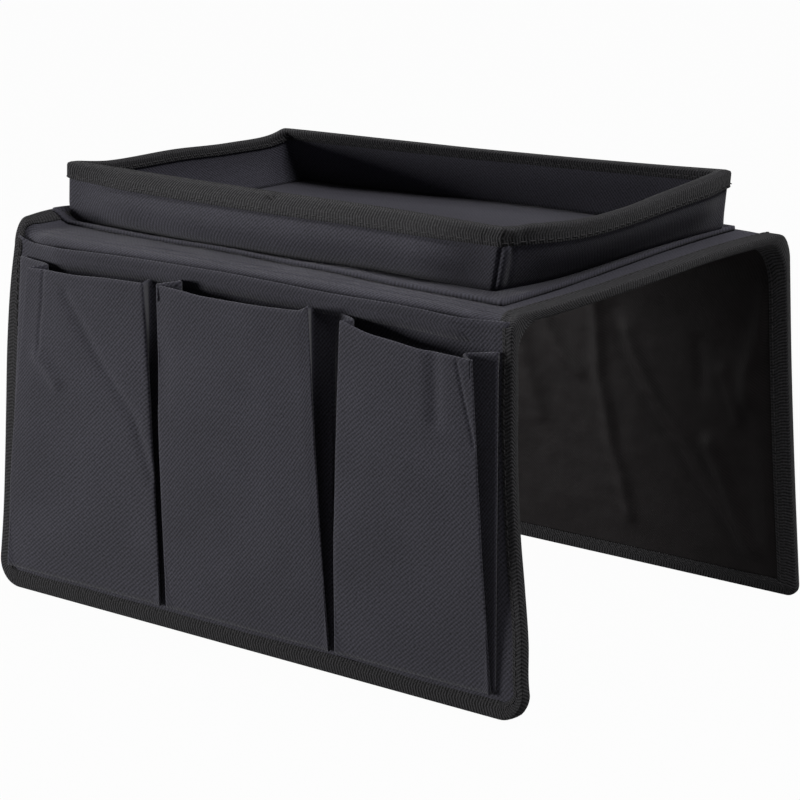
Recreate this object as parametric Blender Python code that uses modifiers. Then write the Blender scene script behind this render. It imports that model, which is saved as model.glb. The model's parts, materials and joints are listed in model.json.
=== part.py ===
# Sofa armrest organizer: a stiffened cloth saddle with a tray on its deck and pockets on its front flap.
# X runs along the flaps, the front flap faces -Y, Z is up, and the origin is the middle of the base.

from math import cos, pi, radians, sin

import bmesh
import bpy
from mathutils import Matrix

mm = 0.001

# Driving dimensions
deck_width = 332 * mm
deck_depth = 220 * mm
deck_height = 188 * mm
front_bottom_width = 350 * mm
back_bottom_width = 332 * mm
front_corner_radius = 14 * mm
back_corner_radius = 6 * mm
fold_radius = 9 * mm
front_splay = radians(2.8)
back_splay = radians(5.3)

# Layers and clearances
cloth = 0.8 * mm
board = 2.0 * mm
clearance = 0.3 * mm
tape_width = 10 * mm
tape = 0.8 * mm
board_inset = 5 * mm
overrun = 20 * mm
weld_distance = 0.001 * mm

# Tray: how far its walls stand in from the deck's edges
tray_left_gap = 11 * mm
tray_right_gap = 38 * mm
tray_front_gap = 28 * mm
tray_back_gap = 11 * mm
tray_height = 31 * mm
tray_board = 1.6 * mm
flange_width = 8 * mm
rim_corner_radius = 1.5 * mm

# Wide pocket behind the three small ones
wide_pocket_drop = 1.0 * mm
wide_pocket_lift = 6.5 * mm
wide_pocket_side_ramp = 24 * mm
wide_pocket_bottom_ramp = 30 * mm
wide_pocket_edge_inset = 2.5 * mm

# Small pockets: seams on the flap, then where each face's two edges stand at its mouth
pocket_drop = 5 * mm
pocket_depth = 11 * mm
pocket_swell = 1.6 * mm
pocket_seam_gap = 1.5 * mm
pocket_clearance = 0.5 * mm
pleat_width = 12 * mm
left_seam_share = 0.355
right_seam_share = 0.682
left_pocket_insets = (20 * mm, 8 * mm)
middle_pocket_insets = (0.5 * mm, 4 * mm)
right_pocket_insets = (13 * mm, 5 * mm)

# Counts
corner_steps = 5
fold_steps = 6
face_columns = 6
pocket_rows = 7
wide_pocket_columns = 8

# Derived sizes of the panels
panel = 2 * cloth + board + 2 * clearance
lining_in = fold_radius - panel
board_in = lining_in + cloth + clearance
cover_in = board_in + board + clearance
tape_in = lining_in - clearance - tape
tape_out = fold_radius + clearance + tape
hinge_height = deck_height - fold_radius
hinge_half_depth = deck_depth / 2 - fold_radius
layer_step = cloth + clearance
wide_pocket_seat = clearance + cloth / 2
front_tape_out = tape_out + layer_step
edge_inset = tape + clearance


def flap_length(splay):
    # The inner edge of the tilted flap's bottom just reaches the floor
    return (hinge_height + tape_in * sin(splay)) / cos(splay)


front_length = flap_length(front_splay)
back_length = flap_length(back_splay)
pocket_rise = wide_pocket_seat + wide_pocket_lift + cloth + pocket_clearance + pocket_depth + pocket_swell
pocket_lean = pocket_drop * sin(front_splay)
front_reach = hinge_half_depth + (fold_radius + pocket_rise) * cos(front_splay) + pocket_lean
back_reach = hinge_half_depth + tape_out * cos(back_splay) + back_length * sin(back_splay)
middle_y = (front_reach - back_reach) / 2

deck_low_y = middle_y - hinge_half_depth + clearance
deck_high_y = middle_y + hinge_half_depth - clearance
tray_low_x = -deck_width / 2 + tray_left_gap
tray_high_x = deck_width / 2 - tray_right_gap
tray_low_y = middle_y - deck_depth / 2 + tray_front_gap
tray_high_y = middle_y + deck_depth / 2 - tray_back_gap
tray_floor = deck_height + clearance
tray_top = deck_height + tray_height
wall = 2 * cloth + tray_board + 2 * clearance

for stale in list(bpy.data.objects):
    bpy.data.objects.remove(stale, do_unlink=True)
parts = bpy.data.collections.new("sofa_armrest_organizer")
cutters = bpy.data.collections.new("cutters")
for group in (parts, cutters):
    bpy.context.scene.collection.children.link(group)


def finish(name, color, roughness):
    surface = bpy.data.materials.new(name)
    surface.use_nodes = True
    shader = surface.node_tree.nodes["Principled BSDF"]
    shader.inputs["Base Color"].default_value = (*color, 1)
    shader.inputs["Roughness"].default_value = roughness
    shader.inputs["Metallic"].default_value = 0
    return surface


twill = finish("twill", (0.036, 0.035, 0.042), 0.85)
lining = finish("lining", (0.014, 0.013, 0.014), 0.7)
binding = finish("binding", (0.040, 0.039, 0.040), 0.8)
paperboard = finish("paperboard", (0.35, 0.29, 0.22), 0.9)


def add(name, mesh, surface, parent=None):
    thing = bpy.data.objects.new(name, mesh)
    parts.objects.link(thing)
    thing.parent = parent
    mesh.materials.clear()
    if surface is None:
        parts.objects.unlink(thing)
        cutters.objects.link(thing)
        thing.hide_render = True
        thing.display_type = "WIRE"
    else:
        mesh.materials.append(surface)
    return thing


def cut(thing, cutter):
    boolean = thing.modifiers.new("cut_" + cutter.name, "BOOLEAN")
    boolean.operation = "DIFFERENCE"
    boolean.object = cutter


def prism_mesh(name, outline, length):
    # A filled outline of (x, y) points, extruded by the length along Z about its middle
    curve = bpy.data.curves.new(name + "_outline", "CURVE")
    curve.dimensions = "2D"
    curve.fill_mode = "BOTH"
    curve.extrude = length / 2
    spline = curve.splines.new("POLY")
    spline.points.add(len(outline) - 1)
    for point, (x, y) in zip(spline.points, outline):
        point.co = (x, y, 0, 1)
    spline.use_cyclic_u = True
    guide = bpy.data.objects.new(name + "_guide", curve)
    cutters.objects.link(guide)
    bpy.context.view_layer.update()
    graph = bpy.context.evaluated_depsgraph_get()
    mesh = bpy.data.meshes.new_from_object(guide.evaluated_get(graph))
    mesh.name = name
    bpy.data.objects.remove(guide, do_unlink=True)
    shape = bmesh.new()
    shape.from_mesh(mesh)
    bmesh.ops.remove_doubles(shape, verts=shape.verts, dist=weld_distance)
    bmesh.ops.recalc_face_normals(shape, faces=shape.faces)
    shape.to_mesh(mesh)
    shape.free()
    return mesh


def plate(name, outline, low, high, surface, parent=None):
    # An outline in the XZ plane, thick from low to high along -Y
    mesh = prism_mesh(name, outline, high - low)
    mesh.transform(Matrix.Translation((0, -(low + high) / 2, 0)) @ Matrix.Rotation(pi / 2, 4, "X"))
    return add(name, mesh, surface, parent)


def bar_along_x(name, profile, low, high, surface):
    # A (y, z) profile, extruded from low to high along X
    turn = Matrix(((0, 0, 1, (low + high) / 2), (1, 0, 0, 0), (0, 1, 0, 0), (0, 0, 0, 1)))
    mesh = prism_mesh(name, profile, high - low)
    mesh.transform(turn)
    return add(name, mesh, surface)


def bar_along_y(name, profile, low, high, surface):
    # An (x, z) profile, extruded from low to high along Y
    mesh = prism_mesh(name, profile, high - low)
    mesh.transform(Matrix.Translation((0, (low + high) / 2, 0)) @ Matrix.Rotation(pi / 2, 4, "X"))
    return add(name, mesh, surface)


def box(name, low, high, surface):
    shape = bmesh.new()
    bmesh.ops.create_cube(shape, size=1)
    size = [b - a for a, b in zip(low, high)]
    middle = [(a + b) / 2 for a, b in zip(low, high)]
    placing = Matrix.Translation(middle) @ Matrix.Diagonal((*size, 1))
    bmesh.ops.transform(shape, matrix=placing, verts=shape.verts)
    mesh = bpy.data.meshes.new(name)
    shape.to_mesh(mesh)
    shape.free()
    return add(name, mesh, surface)


def empty(name, y, splay, facing):
    # Its -Y side faces outwards and its Z axis runs up along the flap
    frame = bpy.data.objects.new(name, None)
    parts.objects.link(frame)
    frame.location = (0, y, hinge_height)
    frame.rotation_euler = (-splay, 0, facing)
    return frame


front_hinge = empty("front_hinge", middle_y - hinge_half_depth, front_splay, 0)
back_hinge = empty("back_hinge", middle_y + hinge_half_depth, back_splay, pi)


def front_half_width(z, inset):
    # Straight flared side of the front flap, then a round corner down to the bottom edge
    flare = (front_bottom_width - deck_width) / 2 / front_length
    centre = -front_length + front_corner_radius
    straight = deck_width / 2 - flare * z - inset
    if z >= centre:
        return straight
    radius = front_corner_radius - inset
    depth = min(centre - z, radius)
    return straight + flare * (z - centre) - radius + (radius**2 - depth**2) ** 0.5


def flap_outline(flap, inset, top):
    length, bottom_width, corner_radius = flap
    flare = (bottom_width - deck_width) / 2 / length
    radius = max(corner_radius - inset, clearance)
    centre = -length + inset + radius
    side = deck_width / 2 - flare * centre - inset
    top_side = deck_width / 2 - flare * top - inset
    angles = [step / corner_steps * pi / 2 for step in range(corner_steps + 1)]
    corner = [(side - radius + radius * cos(angle), centre - radius * sin(angle)) for angle in angles]
    right = [(top_side, top)] + corner
    return right + [(-x, z) for x, z in reversed(right)]


def flap_layers(side, flap, hinge, outer):
    # Lining, board and cover, bound on three edges by one folded tape that reaches out to outer
    top = -clearance
    skin = flap_outline(flap, edge_inset, top)
    stiffener = flap_outline(flap, board_inset, top)
    plate(side + "_lining", skin, lining_in, lining_in + cloth, lining, hinge)
    plate(side + "_board", stiffener, board_in, board_in + board, paperboard, hinge)
    plate(side + "_cover", skin, cover_in, fold_radius, twill, hinge)
    edge = plate(side + "_binding", flap_outline(flap, 0, top), tape_in, outer, binding, hinge)
    window = flap_outline(flap, tape_width, overrun)
    cut(edge, plate(side + "_binding_window", window, tape_in - overrun, outer + overrun, None, hinge))
    slot = flap_outline(flap, tape, overrun)
    cut(edge, plate(side + "_binding_slot", slot, tape_in + tape, outer - tape, None, hinge))


def fold_piece(name, profile, hinge, surface):
    # An (x, radius) profile turned about the hinge axis, from the deck round to the flap
    shape = bmesh.new()
    start = shape.faces.new([shape.verts.new((x, 0, radius)) for x, radius in profile])
    arc = pi / 2 + hinge.rotation_euler.x
    turned = [start] + start.edges[:] + start.verts[:]
    bmesh.ops.spin(shape, geom=turned, cent=(0, 0, 0), axis=(1, 0, 0), angle=arc, steps=fold_steps)
    bmesh.ops.recalc_face_normals(shape, faces=shape.faces)
    mesh = bpy.data.meshes.new(name)
    shape.to_mesh(mesh)
    shape.free()
    piece = add(name, mesh, surface)
    piece.location = hinge.location
    piece.rotation_euler.z = hinge.rotation_euler.z


def tape_profile(side):
    # The U of the folded tape round one side edge, as (x, radius) from the hinge axis
    edge, lip, web = deck_width / 2, deck_width / 2 - tape_width, deck_width / 2 - tape
    shape = [
        (edge, tape_in), (edge, tape_out), (lip, tape_out), (lip, tape_out - tape),
        (web, tape_out - tape), (web, tape_in + tape), (lip, tape_in + tape), (lip, tape_in),
    ]
    return [(side * x, radius) for x, radius in shape]


def strip_profile(low, high):
    half = deck_width / 2 - edge_inset
    return [(-half, low), (half, low), (half, high), (-half, high)]


def fold(side, hinge):
    fold_piece(side + "_fold_cover", strip_profile(cover_in, fold_radius), hinge, twill)
    fold_piece(side + "_fold_lining", strip_profile(lining_in, lining_in + cloth), hinge, lining)
    for name, sign in (("_fold_binding_left", -1), ("_fold_binding_right", 1)):
        fold_piece(side + name, tape_profile(sign), hinge, binding)


def deck():
    half = deck_width / 2 - edge_inset
    half_board = deck_width / 2 - board_inset
    sheets = (
        ("deck_lining", half, lining_in, lining_in + cloth, lining),
        ("deck_board", half_board, board_in, board_in + board, paperboard),
        ("deck_cover", half, cover_in, fold_radius, twill),
    )
    for name, reach, low, high, surface in sheets:
        low_corner = (-reach, deck_low_y, hinge_height + low)
        box(name, low_corner, (reach, deck_high_y, hinge_height + high), surface)
    for name, side in (("deck_binding_left", -1), ("deck_binding_right", 1)):
        profile = [(x, hinge_height + radius) for x, radius in tape_profile(side)]
        bar_along_y(name, profile, deck_low_y, deck_high_y, binding)


def wall_profile(face, out, lift):
    # The outer cloth of a wall, and the flange that it turns out at its foot, as (depth, z)
    inner, flange, foot = face - out * cloth, face + out * flange_width, tray_floor + lift
    top = tray_top - edge_inset
    shelf = [(flange, foot), (flange, foot + cloth), (face, foot + cloth)]
    upright = [(face, top), (inner, top), (inner, tray_floor)]
    return shelf + upright + ([(face, tray_floor), (face, foot)] if lift else [])


def layer(face, out, near, far):
    return sorted((face - out * near, face - out * far))


def tray_walls():
    # Each wall is a board between an outer and an inner cloth, and the cloths meet at the corners
    top = tray_top - edge_inset
    board_far = layer_step + tray_board
    for name, y, out in (("front", tray_low_y, -1), ("back", tray_high_y, 1)):
        bar_along_x("tray_" + name + "_outer", wall_profile(y, out, 0), tray_low_x, tray_high_x, twill)
        low, high = layer(y, out, layer_step, board_far)
        box("tray_" + name + "_board", (tray_low_x + layer_step, low, tray_floor),
            (tray_high_x - layer_step, high, top), paperboard)
        low, high = layer(y, out, wall - cloth, wall)
        box("tray_" + name + "_inner", (tray_low_x + wall + clearance, low, tray_floor),
            (tray_high_x - wall - clearance, high, top), twill)
    # The left flange lies on the deck's tape, so it springs from its wall a little higher
    for name, x, out, lift in (("left", tray_low_x, -1, tape + clearance), ("right", tray_high_x, 1, 0)):
        bar_along_y("tray_" + name + "_outer", wall_profile(x, out, lift),
                    tray_low_y + layer_step, tray_high_y - layer_step, twill)
        low, high = layer(x, out, layer_step, board_far)
        box("tray_" + name + "_board", (low, tray_low_y + board_far + clearance, tray_floor),
            (high, tray_high_y - board_far - clearance, top), paperboard)
        low, high = layer(x, out, wall - cloth, wall)
        box("tray_" + name + "_inner", (low, tray_low_y + wall - cloth, tray_floor),
            (high, tray_high_y - wall + cloth, top), twill)


def rounded_rectangle(grow, radius):
    # The tray's outer rectangle, grown or shrunk, with round corners
    low_x, high_x = tray_low_x - grow, tray_high_x + grow
    low_y, high_y = tray_low_y - grow, tray_high_y + grow
    outline = []
    for turn, (x, y) in enumerate(((high_x - radius, high_y - radius), (low_x + radius, high_y - radius),
                                   (low_x + radius, low_y + radius), (high_x - radius, low_y + radius))):
        for step in range(corner_steps + 1):
            angle = (turn + step / corner_steps) * pi / 2
            outline.append((x + radius * cos(angle), y + radius * sin(angle)))
    return outline


def ring(name, grow, radius, low, high, surface):
    mesh = prism_mesh(name, rounded_rectangle(grow, radius), high - low)
    mesh.transform(Matrix.Translation((0, 0, (low + high) / 2)))
    return add(name, mesh, surface)


def tray_rim():
    # One folded tape round the top edge of the four walls
    low = tray_top - tape_width
    inside = edge_inset + wall
    inner_corner, slot_corner = rim_corner_radius, rim_corner_radius - tape
    rim = ring("tray_rim_binding", edge_inset, rim_corner_radius, low, tray_top, binding)
    cut(rim, ring("rim_window", -inside, inner_corner, low - overrun, tray_top + overrun, None))
    slot = ring("rim_slot", edge_inset - tape, slot_corner, low - overrun, tray_top - tape, None)
    core = ring("rim_slot_core", tape - inside, slot_corner, low - 2 * overrun, tray_top + overrun, None)
    cut(slot, core)
    cut(rim, slot)


def sheet(name, columns, rows, place, surface, hinge):
    # A grid of cloth, each point set by its column and row, thickened to the cloth's thickness
    shape = bmesh.new()
    bmesh.ops.create_grid(shape, x_segments=columns, y_segments=rows, size=1)
    for point in shape.verts:
        column = round((point.co.x + 1) / 2 * columns)
        row = round((point.co.y + 1) / 2 * rows)
        point.co = place(column, row)
    mesh = bpy.data.meshes.new(name)
    shape.to_mesh(mesh)
    shape.free()
    thing = add(name, mesh, surface, hinge)
    thick = thing.modifiers.new("thickness", "SOLIDIFY")
    thick.thickness = cloth
    thick.offset = 0
    thick.use_even_offset = True
    return thing


pocket_bottom = -front_length + tape_width + pocket_seam_gap
pocket_top = -pocket_drop
ramp_top = pocket_bottom + wide_pocket_bottom_ramp


def between(low, high, share):
    return low + (high - low) * share


def wide_pocket_rise(x, z):
    # How far the wide pocket stands off the cover: flat at its sewn edges, then up over two ramps
    side = (front_half_width(z, tape_width) - abs(x)) / wide_pocket_side_ramp
    bottom = (z - pocket_bottom) / wide_pocket_bottom_ramp
    share = min(max(side, 0), 1) * min(max(bottom, 0), 1)
    return wide_pocket_seat + wide_pocket_lift * share


def wide_pocket():
    bottom = -front_length + wide_pocket_edge_inset
    top = -wide_pocket_drop
    low_rows = [bottom, between(bottom, pocket_bottom, 0.5), pocket_bottom]
    ramp_rows = [between(pocket_bottom, ramp_top, step / 3) for step in (1, 2, 3)]
    rows = low_rows + ramp_rows + [between(ramp_top, top, step / 3) for step in (1, 2, 3)]

    def place(column, row):
        z = rows[row]
        edge = front_half_width(z, wide_pocket_edge_inset)
        foot = min(front_half_width(z, tape_width), edge)
        ramps = [foot - wide_pocket_side_ramp * step / 2 for step in (0, 1, 2)]
        right = [ramps[2] * step / (wide_pocket_columns / 2) for step in range(wide_pocket_columns // 2)]
        right += [ramps[2], ramps[1], ramps[0], edge]
        line = [-x for x in reversed(right[1:])] + right
        x = line[column]
        return (x, -(fold_radius + wide_pocket_rise(x, z)), z)

    columns = 2 * (wide_pocket_columns // 2 + 3)
    sheet("wide_pocket", columns, len(rows) - 1, place, twill, front_hinge)


def seams(z):
    # The four sewn lines that part the three small pockets at a height, from left to right
    half = front_half_width(max(z, -front_length + front_corner_radius), tape_width)
    return [-half, between(-half, half, left_seam_share), between(-half, half, right_seam_share), half]


def pocket_section(left, right, left_inset, right_inset, z, share):
    # The bellows pleat at each side and the face, as (x, stand-off) from the left seam to the right
    seat = cloth + pocket_clearance
    face = seat + 2 * layer_step + (pocket_depth - 2 * layer_step) * share
    apex = (seat + face) / 2

    def pleat(seam, inset, way):
        edge = seam + way * inset * share
        apex_x = edge + way * between(pleat_width, pleat_width / 2, share)
        base = wide_pocket_rise(seam, z)
        tip = wide_pocket_rise(apex_x, z)
        front = between(tip, wide_pocket_rise(edge, z), 0.5)
        return [
            (seam, base + seat),
            (apex_x, tip + apex - layer_step / 2),
            (apex_x, tip + apex + layer_step / 2),
            (edge, front + face - layer_step / 2),
            (edge, front + face + layer_step / 2),
        ]

    start = pleat(left, left_inset, 1)
    end = pleat(right, right_inset, -1)
    (x0, n0), (x1, n1) = start[-1], end[-1]
    middle = []
    for step in range(1, face_columns):
        u = step / face_columns
        middle.append((between(x0, x1, u), between(n0, n1, u) + pocket_swell * share * sin(pi * u)))
    return start + middle + end[::-1]


def small_pockets():
    insets = (
        ("pocket_left", left_pocket_insets),
        ("pocket_middle", middle_pocket_insets),
        ("pocket_right", right_pocket_insets),
    )
    steps = pocket_rows - 3
    heights = [between(pocket_bottom, ramp_top, step / 3) for step in range(3)]
    heights += [between(ramp_top, pocket_top, step / steps) for step in range(steps + 1)]
    for first, (name, (left_inset, right_inset)) in enumerate(insets):
        sections = []
        for z in heights:
            share = (z - pocket_bottom) / (pocket_top - pocket_bottom)
            line = seams(z)
            left = line[first] + pocket_seam_gap
            right = line[first + 1] - pocket_seam_gap
            sections.append(pocket_section(left, right, left_inset, right_inset, z, share))

        def place(column, row, sections=sections):
            x, stand_off = sections[row][column]
            return (x, -(fold_radius + stand_off), heights[row])

        sheet(name, len(sections[0]) - 1, len(heights) - 1, place, twill, front_hinge)


deck()
fold("front", front_hinge)
fold("back", back_hinge)
flap_layers("front", (front_length, front_bottom_width, front_corner_radius), front_hinge, front_tape_out)
flap_layers("back", (back_length, back_bottom_width, back_corner_radius), back_hinge, tape_out)
wide_pocket()
small_pockets()
tray_walls()
tray_rim()
bpy.context.view_layer.update()
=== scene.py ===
import json

import bpy
import numpy as np
from mathutils import Matrix, Vector


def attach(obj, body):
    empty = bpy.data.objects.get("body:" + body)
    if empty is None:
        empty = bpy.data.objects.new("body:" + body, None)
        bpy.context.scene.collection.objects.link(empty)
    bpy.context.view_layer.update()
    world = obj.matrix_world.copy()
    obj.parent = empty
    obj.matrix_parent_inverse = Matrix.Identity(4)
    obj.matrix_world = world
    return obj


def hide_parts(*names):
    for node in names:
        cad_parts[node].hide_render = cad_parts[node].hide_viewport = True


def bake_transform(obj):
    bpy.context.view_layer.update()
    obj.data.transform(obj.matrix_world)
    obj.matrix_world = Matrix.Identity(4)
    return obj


# Sofa armrest organizer: cloth, tape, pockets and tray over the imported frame.
# Every length below is in millimetres. x runs along the flaps, y to the back, z up.

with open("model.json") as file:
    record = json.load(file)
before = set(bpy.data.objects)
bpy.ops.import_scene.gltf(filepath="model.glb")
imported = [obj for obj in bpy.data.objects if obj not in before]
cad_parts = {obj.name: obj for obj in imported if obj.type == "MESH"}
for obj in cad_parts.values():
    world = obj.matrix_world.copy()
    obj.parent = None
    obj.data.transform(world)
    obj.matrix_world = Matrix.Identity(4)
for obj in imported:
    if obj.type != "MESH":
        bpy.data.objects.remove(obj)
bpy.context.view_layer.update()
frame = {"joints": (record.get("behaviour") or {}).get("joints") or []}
mm = 0.001

joints = {joint["name"]: joint for joint in frame["joints"]}
frontHingeY = joints["front_fold"]["pos_m"][1] / mm
backHingeY = joints["back_fold"]["pos_m"][1] / mm
middleY = (frontHingeY + backHingeY) / 2

saddle = {
    "foldRadius": 9.0,
    "insideRadius": 17.0,  # the lining turns the fold in a wider round
    "hingeHeight": 179.0,
    "deckLeft": -166.3,
    "deckRight": 160.0,
    "panel": 4.2,  # from the cover's outer face to the lining
    "cloth": 0.8,
    "lining": 0.4,
    "board": 2.0,
    "boardFace": -1.2,  # the board's upper face, under the cover's
    "boardInset": 6.0,
    "sheetInset": 1.1,
    "sheetWide": 334.0,
    "foldSpan": 16.0,  # cloth's length round the fold
    "filled": (2.4, 1.7, 0.34),  # the fold's stand-off between its tapes, its q and its spread in q
    "seams": ((1.08, 0.35), (1.36, 0.6)),  # q and depth of the creases along the fold
    "pinch": 1.7,  # how much the panel is pressed together at its bound edge
}
sides = {
    "front": {
        "way": -1, "hingeY": frontHingeY, "lean": np.radians(2.8), "length": 179.4, "corner": 14.0,
        "down": (0, 20, 46, 88, 114, 140, 161, 172, 179.4),
        "left": (-164, -167, -169, -169.8, -170.2, -171, -172.5, -173.5, -174),
        "right": (161, 162, 163, 166.6, 170.3, 173.6, 174.8, 176.8, 178),
        "lipOut": 2.2,
    },
    "back": {
        "way": 1, "hingeY": backHingeY, "lean": np.radians(5.3), "length": 178.7, "corner": 6.0,
        "down": (0, 60, 120, 177.7),
        "left": (-166, -166, -166, -166),
        "right": (161, 160.4, 160.8, 161.8),
        "lipOut": 1.1,
    },
}
halfDeck = (backHingeY - frontHingeY) / 2
deckHeight = saddle["hingeHeight"] + saddle["foldRadius"]

# Where each cloth's pattern starts, so that no two pieces show the same part of it
patternU = 200
patternV = {"saddle": 350, "widePocket": 600, "smallPocket": 700, "trayOuter": 900, "trayInner": 950}


def between(low, high, share):
    return low + (high - low) * share


def smooth(share):
    share = np.clip(share, 0, 1)
    return share * share * (3 - 2 * share)


def through(at, knots, values):
    # A smooth curve through the values: a cubic between each two knots, with its neighbours' slopes
    knots, values = np.asarray(knots, float), np.asarray(values, float)
    slopes = np.gradient(values, knots)
    at = np.clip(at, knots[0], knots[-1])
    i = np.clip(np.searchsorted(knots, at, side="right") - 1, 0, len(knots) - 2)
    gap = knots[i + 1] - knots[i]
    s = (at - knots[i]) / gap
    ends = (1 + 2 * s) * (1 - s) ** 2 * values[i] + s * s * (3 - 2 * s) * values[i + 1]
    return ends + s * (1 - s) ** 2 * gap * slopes[i] + s * s * (s - 1) * gap * slopes[i + 1]


def softNoise(u, v, size, seed):
    # Value noise from -1 to 1: random heights on a square lattice, joined by a smooth step each way
    lattice = 64
    heights = np.random.default_rng(seed).uniform(-1, 1, (lattice, lattice))
    a, b = np.broadcast_arrays(np.asarray(u, float) / size, np.asarray(v, float) / size)
    i, j = np.floor(a).astype(int), np.floor(b).astype(int)
    s, t = smooth(a - i), smooth(b - j)
    i, j, nextI, nextJ = i % lattice, j % lattice, (i + 1) % lattice, (j + 1) % lattice
    near = between(heights[i, j], heights[nextI, j], s)
    far = between(heights[i, nextJ], heights[nextI, nextJ], s)
    return between(near, far, t)


def ridge(x, y, line, width):
    # 1 on a line of points, falling off as a bell over the width to either side
    line = np.asarray(line, float)
    gap = np.full(np.shape(x), np.inf)
    for (x0, y0), (x1, y1) in zip(line[:-1], line[1:]):
        share = ((x - x0) * (x1 - x0) + (y - y0) * (y1 - y0)) / ((x1 - x0) ** 2 + (y1 - y0) ** 2)
        share = np.clip(share, 0, 1)
        gap = np.minimum(gap, np.hypot(x - between(x0, x1, share), y - between(y0, y1, share)))
    return np.exp(-(gap / width) ** 2)


def lengthAlong(path):
    # How far along the path each of its points lies
    return np.concatenate([[0], np.cumsum(np.linalg.norm(np.diff(path, axis=0), axis=1))])


def unit(rows):
    return rows / np.linalg.norm(rows, axis=1)[:, None]


def paired(u, v):
    return np.stack(np.broadcast_arrays(u, v), -1)


def pattern(name, u, v):
    return paired(u + patternU, v + patternV[name])


def spokes(aside, rise, count):
    # From each point of a path, unit steps to a ring of points round it
    angle = 2 * np.pi * np.arange(count) / count
    return aside[:, None] * np.cos(angle)[:, None] + rise[:, None] * np.sin(angle)[:, None]


# Meshes

def placed(name, data):
    thing = bpy.data.objects.new(name, data)
    bpy.context.scene.collection.objects.link(thing)
    return thing


def putMesh(name, points, faces, uv, material):
    # uv is in millimetres of cloth
    mesh = bpy.data.meshes.new(name)
    mesh.from_pydata((np.asarray(points).reshape(-1, 3) * mm).tolist(), [], faces.tolist())
    corners = np.zeros(len(mesh.loops), np.int32)
    mesh.loops.foreach_get("vertex_index", corners)
    layer = mesh.uv_layers.new(name="cloth")
    places = (np.asarray(uv).reshape(-1, 2)[corners] * mm).astype(np.float32)
    layer.data.foreach_set("uv", places.ravel())
    mesh.polygons.foreach_set("use_smooth", np.ones(len(mesh.polygons), bool))
    mesh.materials.append(material)
    mesh.update()
    return placed(name, mesh)


def gridFaces(rows, columns, closed=False):
    across = columns if closed else columns - 1
    row, column = np.meshgrid(np.arange(rows - 1), np.arange(across), indexing="ij")
    nextColumn = (column + 1) % columns
    faces = [row * columns + column, row * columns + nextColumn,
             (row + 1) * columns + nextColumn, (row + 1) * columns + column]
    return np.stack(faces, -1).reshape(-1, 4)


def gridPiece(name, points, uv, material, thick=0.0, closed=False, flip=False):
    # points is rows x columns x 3. The faces look along (row direction) x (column direction).
    faces = gridFaces(points.shape[0], points.shape[1], closed)
    if not flip:
        faces = faces[:, ::-1]
    piece = putMesh(name, points, faces, uv, material)
    if thick:
        layer = piece.modifiers.new("thickness", "SOLIDIFY")
        layer.thickness = thick * mm
        layer.offset = -1
        layer.use_quality_normals = True
    return piece


# Materials

def newMaterial(name, look):
    material = bpy.data.materials.new(name)
    material.use_nodes = True
    shader = material.node_tree.nodes["Principled BSDF"]
    shader.inputs["Base Color"].default_value = (*look["color"], 1)
    shader.inputs["Roughness"].default_value = look["roughness"]
    shader.inputs["Specular IOR Level"].default_value = look.get("specular", 0.3)
    shader.inputs["Sheen Weight"].default_value = look.get("sheen", 0.0)
    shader.inputs["Sheen Roughness"].default_value = 0.5
    return material, material.node_tree, shader


def node(tree, kind, **values):
    # Settings are given by name, and sockets by their name without its spaces
    made = tree.nodes.new(kind)
    sockets = {socket.name.replace(" ", ""): socket for socket in made.inputs}
    for key, value in values.items():
        if key in sockets:
            sockets[key].default_value = value
        else:
            setattr(made, key, value)
    return made


def mathNode(tree, operation, *sources):
    made = node(tree, "ShaderNodeMath", operation=operation)
    for source, socket in zip(sources, made.inputs):
        if isinstance(source, (int, float)):
            socket.default_value = source
        else:
            tree.links.new(source, socket)
    return made.outputs[0]


def timesPlus(tree, source, factor, more):
    return mathNode(tree, "MULTIPLY_ADD", source, factor, more)


def clothPlace(tree):
    return node(tree, "ShaderNodeUVMap", uv_map="cloth").outputs[0]


def shaded(tree, shader, look, shade):
    # The shader's colour is the look's one times a shade
    tint = node(tree, "ShaderNodeVectorMath", operation="SCALE")
    tint.inputs[0].default_value = look["color"]
    tree.links.new(shade, tint.inputs["Scale"])
    tree.links.new(tint.outputs[0], shader.inputs["Base Color"])


def bumped(tree, shader, look, height):
    strength, depth = look["bump"]
    bump = node(tree, "ShaderNodeBump", Strength=strength, Distance=depth * mm)
    tree.links.new(height, bump.inputs["Height"])
    tree.links.new(bump.outputs[0], shader.inputs["Normal"])


def noiseNode(tree, place, scale, detail):
    made = node(tree, "ShaderNodeTexNoise", Scale=scale, Detail=detail)
    tree.links.new(place, made.inputs["Vector"])
    return made.outputs["Fac"]


def waves(tree, place, pitch, turn, wander):
    # Even bands with a pitch, turned about the cloth's own z and bent a little by noise. At scale 1
    # the texture's own pitch is 2 pi / 20 metres.
    turned = node(tree, "ShaderNodeMapping", Rotation=(0, 0, np.radians(turn)))
    tree.links.new(place, turned.inputs["Vector"])
    made = node(tree, "ShaderNodeTexWave", wave_profile="SIN", bands_direction="X",
                Scale=2 * np.pi / 20 / mm / pitch, Distortion=wander, Detail=2.0, DetailScale=0.6)
    tree.links.new(turned.outputs[0], made.inputs["Vector"])
    return made.outputs["Fac"]


def woven(tree, place, look):
    # Height of strong ribs, weaker ones that cross them and a fuzz of thread ends, and a colour shade that
    # follows that height: painted highlights on the ribs and the raised fuzz, painted shade in the grooves
    # between them
    rib = waves(tree, place, *look["rib"])
    cross = waves(tree, place, *look["cross"])
    fuzz = noiseNode(tree, clothPlace(tree), *look["fuzz"])
    height = timesPlus(tree, cross, look["crossWeight"], rib)
    height = timesPlus(tree, fuzz, look["fuzzWeight"], height)
    return height, mathNode(tree, "MAXIMUM", timesPlus(tree, height, *look["shade"]), look["leastShade"])


# Ribs are given by pitch, turn and wander, noise by scale and detail, a shade by its factor and the rest
# that is added, and a bump by strength and depth.

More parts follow.
